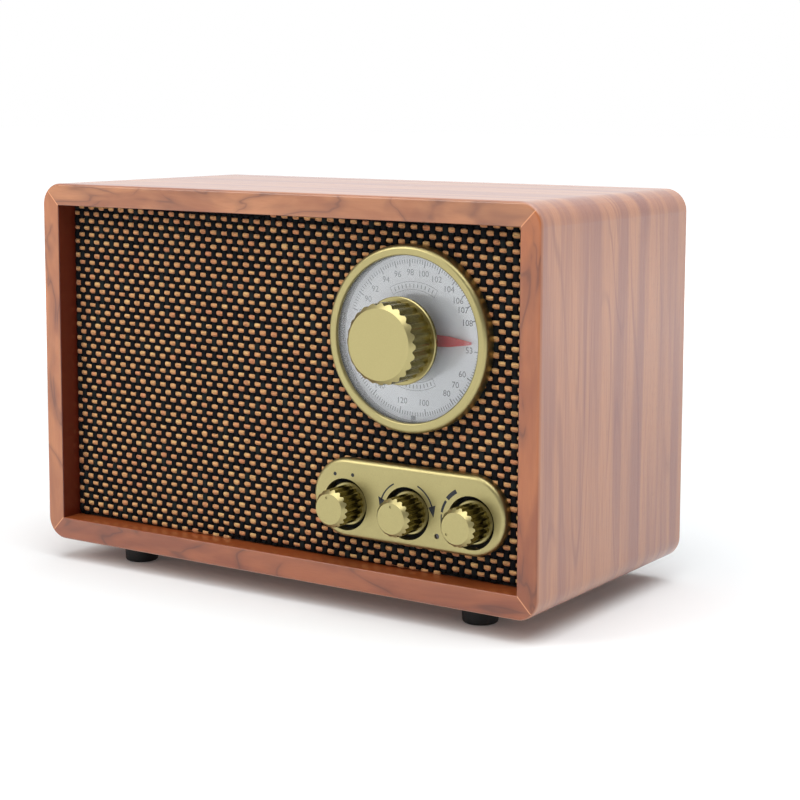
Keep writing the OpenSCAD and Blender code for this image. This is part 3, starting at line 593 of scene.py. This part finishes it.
def makeThreads():
    seeded = np.random.default_rng(7)
    fall = math.tan(math.radians(cloth["fall"]))
    columns = np.arange(
        math.ceil(clothLow[0] / cloth["warpPitch"]),
        math.floor(clothHigh[0] / cloth["warpPitch"]) + 1,
    )
    margin = cloth["reach"] * fall
    rows = np.arange(
        math.floor((clothLow[2] - margin) / cloth["weftPitch"]),
        math.ceil((clothHigh[2] + margin) / cloth["weftPitch"]) + 1,
    )
    perCrossing, sides = cloth["perCrossing"], cloth["sides"]
    columnShift = seeded.normal(0, cloth["unevenness"], len(columns))
    rowShift = seeded.normal(0, cloth["unevenness"], len(rows))
    dotTone = seeded.random((len(rows), len(columns)))
    dotWide = seeded.normal(1.0, 0.09, (len(rows), len(columns)))
    warpTone = seeded.random((len(columns), len(rows)))

    # weft: z = row height - x * fall, y waves once over every second warp
    step = np.arange(columns[0] * perCrossing - 2, columns[-1] * perCrossing + 3) / perCrossing
    near = np.clip(np.rint(step).astype(int) - columns[0], 0, len(columns) - 1)
    x = step * cloth["warpPitch"] + np.interp(step, columns, columnShift)
    baseZ = rows * cloth["weftPitch"] + rowShift
    z = baseZ[:, None] - x[None, :] * fall
    rise = rounded(math.pi * (step[None, :] + rows[:, None]))
    y = cloth["middle"] - cloth["wave"] * rise
    lines = place(np.broadcast_to(x, z.shape), y, z)
    swell = dotWide[:, near] * (1 + cloth["bow"] * rise)
    wide = cloth["weftHalf"][0] * swell * mm
    deep = np.full(z.shape, cloth["weftHalf"][1] * mm)
    keep = clothThere(np.broadcast_to(x, z.shape), z)
    points, faces, used = tubes(lines, (0, 0, 1), wide, deep, keep, sides)
    tone = np.repeat(dotTone[:, near][..., None], sides, axis=2).reshape(-1)[used]
    weft = addMesh("weftThreads", points, faces, threadMaterial("weftYarn", "x"), {"tone": tone})

    # warp: x = column, y waves the other way, z follows the rows' spacing
    step = np.arange(rows[0] * perCrossing - 2, rows[-1] * perCrossing + 3) / perCrossing
    near = np.clip(np.rint(step).astype(int) - rows[0], 0, len(rows) - 1)
    columnX = columns * cloth["warpPitch"] + columnShift
    x = np.broadcast_to(columnX[:, None], (len(columns), len(step)))
    z = np.interp(step, rows, baseZ)[None, :] - x * fall
    rise = -rounded(math.pi * (columns[:, None] + step[None, :]))
    y = cloth["middle"] - cloth["wave"] * rise
    lines = place(x, y, z)
    wide = cloth["warpHalf"][0] * (1 + 0.05 * rise) * np.ones(z.shape) * mm
    deep = np.full(z.shape, cloth["warpHalf"][1] * mm)
    keep = clothThere(x, z)
    points, faces, used = tubes(lines, (-1, 0, 0), wide, deep, keep, sides)
    tone = np.repeat(warpTone[:, near][..., None], sides, axis=2).reshape(-1)[used]
    warp = addMesh("warpThreads", points, faces, threadMaterial("warpYarn", "z"), {"tone": tone})
    return weft, warp


def threadMaterial(name, along):
    # yarn of fine fibres along the thread, its colour changed from float to float
    s = Shader(name)
    tone = s.add("ShaderNodeAttribute", {"attribute_name": "tone"}, output="Fac")
    scale = (500, 1, 5200) if along == "x" else (5200, 1, 500)
    fibres = s.noise(s.stretched((scale[0], 3000, scale[2])), 1.0, 3.0, 0.6, 0.3)
    if along == "x":
        stops = [(0.0, cloth["copper"]), (0.35, cloth["tan"]), (0.7, cloth["tan"]), (1.0, cloth["straw"])]
        colour = s.add("ShaderNodeValToRGB", {"stops": stops}, [tone])
        # painted shade: the weft's downward-facing sides turn darker and redder
        colour = s.mix(s.step(s.facing("z"), 0.5, -0.7, 0.0, 0.7), colour, cloth["under"])
        colour = s.mix(s.step(fibres, 0.45, 0.66, 0.0, 0.65), colour, cloth["split"])
    else:
        fleck = s.step(tone, 0.7, 1.0, 0.0, 0.5)
        colour = s.mix(fleck, cloth["black"], cloth["fleck"])
        colour = s.mix(s.step(fibres, 0.5, 0.75, 0.0, 0.5), colour, cloth["blackFibre"])
    sheen, gloss = (0.12, 0.2) if along == "x" else (0.0, 0.1)
    return s.surface(colour, 0.9, s.bump(fibres, 0.00018, 0.7),
                     Sheen_Weight=sheen, Specular_IOR_Level=gloss)


def makeBacking():
    # flat grid at one depth, with the cells under the dial and the panel left out
    pitch, inset = cloth["backingPitch"], cloth["backingInset"]
    x = np.arange(clothLow[0] + inset, clothHigh[0] - inset, pitch)
    z = np.arange(clothLow[2] + inset, clothHigh[2] - inset, pitch)
    gridX, gridZ = np.meshgrid(x, z, indexing="ij")
    points = place(gridX, cloth["backing"], gridZ).reshape(-1, 3)
    index = np.arange(gridX.size).reshape(gridX.shape)
    there = clothThere(gridX, gridZ)
    whole = there[:-1, :-1] & there[1:, :-1] & there[1:, 1:] & there[:-1, 1:]
    quads = np.stack([index[:-1, :-1], index[1:, :-1], index[1:, 1:], index[:-1, 1:]], axis=-1)[whole]
    used = np.zeros(len(points), bool)
    used[quads.ravel()] = True
    order = np.cumsum(used) - 1
    finish = moulded("backingCloth", rgb(14, 14, 16), 0.95, grain=2500.0)
    return addMesh("grilleBacking", points[used], [order[quads]], finish, smooth=False)


weft, warp = makeThreads()
backing = makeBacking()
for piece in (weft, warp, backing):
    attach(piece, "cabinet")
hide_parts("grille_cloth")
flatSize = ((clothHigh[0] - clothLow[0]) * mm, (clothHigh[2] - clothLow[2]) * mm)
print("grille woven:", len(weft.data.polygons) + len(warp.data.polygons), "faces")

dialPrint = {
    "front": 9.93,
    "thick": 0.03,
    "rimRadius": 29.5,
    "short": 1.5,
    "long": 2.6,
    "lineWide": 0.25,
    "tickGap": 2.25,
    "numberHigh": 2.35,
    "ink": rgb(58, 64, 76),
    # paler print colour at the dial's top left, painted glare
    "glareWashedInk": rgb(142, 148, 156),
    "fm": {
        88: 161, 90: 147, 92: 135, 94: 120.5, 96: 107, 98: 93.6,
        100: 80, 102: 66, 104: 51, 106: 38, 107: 28.7, 108: 17,
    },
    "am": {53: -6.8, 60: -29, 70: -41, 80: -53, 100: -79, 120: -102, 140: -128.5, 160: -155},
    "numberRadius": 24.6,
    "arch": [(19.7, 60, 120), (18.3, 240, 300)],
    "archHigh": 3.0,
    "archLine": 0.14,
    "archBars": 11,
    "archBar": (1.5, 0.3),
    "archEnd": 5,
    "bottomMark": (31.0, 1.6, 2.2),
}


def dialInk():
    # print that runs from dark at the right to pale at the top left: painted glare washing the print out
    # towards the top left
    s = Shader("dialInk")
    glareSlope = (s.where("z") - underside - dialZ * mm) * 0.5 - (s.where("x") - dialX * mm) * 0.87
    speck = s.noise(s.where(), 1500.0, 2.0, 0.5)
    fade = s.step(glareSlope + (speck - 0.5) * 0.012, -0.024, 0.02)
    colour = s.mix(fade, dialPrint["ink"], dialPrint["glareWashedInk"])
    return s.surface(colour, 0.6)


ink = dialInk()


def ticks(angles, outer, length, wide):
    # each tick is a thin bar along a radius: corners at outer and outer - length, +- wide / 2
    a = np.radians(np.asarray(angles, float))[:, None]
    radius = np.array([outer, outer, outer - length, outer - length])
    side = np.array([0.5, -0.5, -0.5, 0.5]) * wide
    x = dialX + radius * np.cos(a) - side * np.sin(a)
    z = dialZ + radius * np.sin(a) + side * np.cos(a)
    return np.stack([x, z], axis=-1)


def arcBand(cx, cz, inner, outer, start, end, count=40):
    # one closed outline between two radii
    a = np.radians(np.linspace(start, end, count))
    outerEdge = np.stack([cx + outer * np.cos(a), cz + outer * np.sin(a)], axis=-1)
    innerEdge = np.stack([cx + inner * np.cos(a[::-1]), cz + inner * np.sin(a[::-1])], axis=-1)
    return np.concatenate([outerEdge, innerEdge])[None]


def scaleMarks(numbers):
    # long ticks at the numbers and fine ones between neighbours, evenly spread
    angles = sorted(numbers.values())
    between = [
        np.linspace(a, b, max(2, round((b - a) / dialPrint["tickGap"])) + 1)[1:-1]
        for a, b in zip(angles[:-1], angles[1:])
    ]
    return np.array(angles), np.concatenate(between)


def dialMarks():
    groups = []
    for numbers in (dialPrint["fm"], dialPrint["am"]):
        major, minor = scaleMarks(numbers)
        rim, thin = dialPrint["rimRadius"], dialPrint["lineWide"]
        groups.append(ticks(major, rim, dialPrint["long"], thin * 1.5))
        groups.append(ticks(minor, rim, dialPrint["short"], thin))
    groups.append(ticks([-90], *dialPrint["bottomMark"]))
    for radius, start, end in dialPrint["arch"]:
        half, line = dialPrint["archHigh"] / 2, dialPrint["archLine"]
        for edge in (radius - half, radius + half):
            groups.append(arcBand(dialX, dialZ, edge - line / 2, edge + line / 2, start, end))
        for angle in (start, end):
            groups.append(ticks([angle], radius + half, 2 * half, line))
        clear = dialPrint["archEnd"]
        inside = np.linspace(start + clear, end - clear, dialPrint["archBars"])
        barLong, barWide = dialPrint["archBar"]
        groups.append(ticks(inside, radius + barLong / 2, barLong, barWide))
    return plateOf("dialMarks", groups, dialPrint["front"], dialPrint["front"] + dialPrint["thick"], ink)


def writeNumbers(name, entries, high, depth, thick, material):
    # entries are (text, x, z): upright figures centred at a point, joined in one mesh
    points, faces, start = [], [], 0
    for text, x, z in entries:
        curve = bpy.data.curves.new("figure", "FONT")
        curve.body, curve.size = text, high / 0.72
        curve.align_x, curve.align_y = "CENTER", "CENTER"
        curve.extrude, curve.resolution_u = thick / 2, 3
        item = bpy.data.objects.new("figure", curve)
        bpy.context.scene.collection.objects.link(item)
        bpy.context.view_layer.update()
        mesh = item.evaluated_get(bpy.context.evaluated_depsgraph_get()).to_mesh()
        flat = np.zeros(len(mesh.vertices) * 3)
        mesh.vertices.foreach_get("co", flat)
        flat = flat.reshape(-1, 3)
        points.append(place(x + flat[:, 0], depth - flat[:, 2], z + flat[:, 1]))
        faces += [[start + v for v in p.vertices] for p in mesh.polygons]
        start += len(flat)
        bpy.data.objects.remove(item)
        bpy.data.curves.remove(curve)
    mesh = bpy.data.meshes.new(name)
    mesh.from_pydata(np.concatenate(points).tolist(), [], faces)
    mesh.update()
    mesh.materials.append(material)
    item = bpy.data.objects.new(name, mesh)
    bpy.context.scene.collection.objects.link(item)
    return item


def dialNumbers():
    entries = []
    for numbers in (dialPrint["fm"], dialPrint["am"]):
        for value, angle in numbers.items():
            a = math.radians(angle)
            entries.append((
                str(value),
                dialX + dialPrint["numberRadius"] * math.cos(a),
                dialZ + dialPrint["numberRadius"] * math.sin(a),
            ))
    thick = dialPrint["thick"]
    return writeNumbers(
        "dialNumbers", entries, dialPrint["numberHigh"], dialPrint["front"] + thick / 2, thick, ink
    )


for piece in (dialMarks(), dialNumbers()):
    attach(piece, "cabinet")
print("dial printed")

panelPrint = {
    "front": panelLow[1] - 0.02,
    "ink": rgb(22, 26, 36),
    "toneRadius": 12.1,
    "toneWide": 0.6,
    "arrowHalf": 1.7,
    "wedges": [(-103, -82, 0.5), (-78.5, -56.5, 1.0), (-52, -29, 1.6)],
    "wedgeRadius": 12.8,
    "toneArcs": [(-28, -72), (24, 74)],
    "arrows": [(-86, -68), (90, 70)],
    "dots": [-22, 17],
    "dotPlace": 12.4,
    "dotRadius": 0.75,
    "thick": 0.03,
}
knobAt = {}
for control in ("band", "tone", "volume"):
    low, high = cabinetBox(control + "_knob")
    knobAt[control] = ((low[0] + high[0]) / 2, (low[2] + high[2]) / 2)


def clockwise(angle):
    # turn from upright, clockwise, to the usual angle
    return 90 - angle


def panelMarks():
    groups = []
    toneX, toneZ = knobAt["tone"]
    radius, wide = panelPrint["toneRadius"], panelPrint["toneWide"]
    for start, end in panelPrint["toneArcs"]:
        groups.append(arcBand(toneX, toneZ, radius - wide / 2, radius + wide / 2,
                              *sorted((clockwise(start), clockwise(end))), count=24))
    half = panelPrint["arrowHalf"]
    for tip, base in panelPrint["arrows"]:
        a, b = math.radians(clockwise(tip)), math.radians(clockwise(base))
        head = [
            (toneX + radius * math.cos(a), toneZ + radius * math.sin(a)),
            (toneX + (radius - half) * math.cos(b), toneZ + (radius - half) * math.sin(b)),
            (toneX + (radius + half) * math.cos(b), toneZ + (radius + half) * math.sin(b)),
        ]
        groups.append(np.array([head if tip < 0 else head[::-1]]))
    volumeX, volumeZ = knobAt["volume"]
    for start, end, thick in panelPrint["wedges"]:
        groups.append(arcBand(volumeX, volumeZ, panelPrint["wedgeRadius"] - thick / 2,
                              panelPrint["wedgeRadius"] + thick / 2,
                              *sorted((clockwise(start), clockwise(end))), count=16))
    bandX, bandZ = knobAt["band"]
    ring = np.linspace(0, 2 * math.pi, 20, endpoint=False)
    for angle in panelPrint["dots"]:
        a = math.radians(clockwise(angle))
        cx = bandX + panelPrint["dotPlace"] * math.cos(a)
        cz = bandZ + panelPrint["dotPlace"] * math.sin(a)
        dot = panelPrint["dotRadius"]
        groups.append(np.stack([cx + dot * np.cos(ring), cz + dot * np.sin(ring)], axis=-1)[None])
    return plateOf("panelMarks", groups, panelPrint["front"], panelPrint["front"] + panelPrint["thick"],
                   moulded("panelInk", panelPrint["ink"], 0.5))


marks = panelMarks()
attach(marks, "cabinet")
print("panel printed")

studio = {
    "floor": (0.88, 0.9, 0.91, 1.0),
    "floorHalf": 8.0,
    "sky": 1.0,
    "ambient": 0.24,
    "mirrorFront": 0.24,
    "mirrorLeft": 0.5,
    "nearGlow": 0.04,
    "farGlow": (0.4, 1.1),
}


def makeFloor():
    # one wide flat square that glows softly far from the radio, so that it ends in white
    size = studio["floorHalf"]
    corners = np.array([[-size, -size, 0], [size, -size, 0], [size, size, 0], [-size, size, 0]], float)
    s = Shader("floorPaint")
    away = (s.where("x") ** 2.0 + s.where("y") ** 2.0) ** 0.5
    glow = s.step(away, *studio["farGlow"], studio["nearGlow"], 1.0)
    glowColour = s.mix(glow, (0, 0, 0, 1), (1, 1, 1, 1))
    s.surface(studio["floor"], 0.8, Emission_Color=glowColour,
              Emission_Strength=0.8, Specular_IOR_Level=0.1)
    floor = addMesh("floor", corners, [np.array([[0, 1, 2, 3]])], s.material, smooth=False)


def makeSky():
    # white for the camera, a softer white for shading, and for mirrors a room
    # that is white behind the radio and at its left, and dim in front of it
    world = bpy.data.worlds.new("studio")
    bpy.context.scene.world = world
    world.use_nodes = True
    tree = world.node_tree
    tree.nodes.clear()

    def node(kind, **settings):
        made = tree.nodes.new(kind)
        for key, value in settings.items():
            setattr(made, key, value)
        return made

    out, rays = node("ShaderNodeOutputWorld"), node("ShaderNodeLightPath")
    split = node("ShaderNodeSeparateXYZ")
    tree.links.new(node("ShaderNodeTexCoord").outputs["Generated"], split.inputs[0])
    room = node("ShaderNodeMath", operation="MAXIMUM")
    walls = (("Y", -0.3, 0.35, studio["sky"]), ("X", -0.05, -0.5, studio["mirrorLeft"]))
    for wall, (axis, low, high, bright) in enumerate(walls):
        ramp = node("ShaderNodeMapRange", interpolation_type="SMOOTHSTEP")
        tree.links.new(split.outputs[axis], ramp.inputs[0])
        for k, value in enumerate((low, high, studio["mirrorFront"], bright), start=1):
            ramp.inputs[k].default_value = value
        tree.links.new(ramp.outputs[0], room.inputs[wall])
    kinds = {"diffuse": studio["ambient"], "seen": studio["sky"], "mirror": None}
    lights = {}
    for kind, strength in kinds.items():
        lights[kind] = node("ShaderNodeBackground")
        lights[kind].inputs["Color"].default_value = (1, 1, 1, 1)
        if strength is None:
            tree.links.new(room.outputs[0], lights[kind].inputs["Strength"])
        else:
            lights[kind].inputs["Strength"].default_value = strength
    first, second = node("ShaderNodeMixShader"), node("ShaderNodeMixShader")
    tree.links.new(rays.outputs["Is Glossy Ray"], first.inputs[0])
    tree.links.new(lights["diffuse"].outputs[0], first.inputs[1])
    tree.links.new(lights["mirror"].outputs[0], first.inputs[2])
    tree.links.new(rays.outputs["Is Camera Ray"], second.inputs[0])
    tree.links.new(first.outputs[0], second.inputs[1])
    tree.links.new(lights["seen"].outputs[0], second.inputs[2])
    tree.links.new(second.outputs[0], out.inputs[0])


def addLamp(name, position, target, size, power, colour=(1, 1, 1)):
    data = bpy.data.lights.new(name, "AREA")
    data.shape = "RECTANGLE"
    data.size, data.size_y = size
    data.energy, data.color = power, colour
    item = bpy.data.objects.new(name, data)
    bpy.context.scene.collection.objects.link(item)
    item.location = position
    direction = Vector(target) - Vector(position)
    item.rotation_euler = direction.to_track_quat("-Z", "Y").to_euler()


makeFloor()
makeSky()
addLamp("keyLeft", (-0.62, -0.86, 0.7), (-0.05, 0, 0.08), (0.6, 0.6), 5.4, (1.0, 0.98, 0.95))
addLamp("overhead", (0.32, -0.12, 1.5), (0.1, 0, 0.1), (2.0, 1.8), 34)
addLamp("fillRight", (1.3, -0.2, 0.5), (0.1, 0, 0.08), (0.7, 0.9), 0.5, (0.97, 0.96, 1.0))
bpy.context.scene.view_settings.view_transform = "Standard"
print("studio lit")
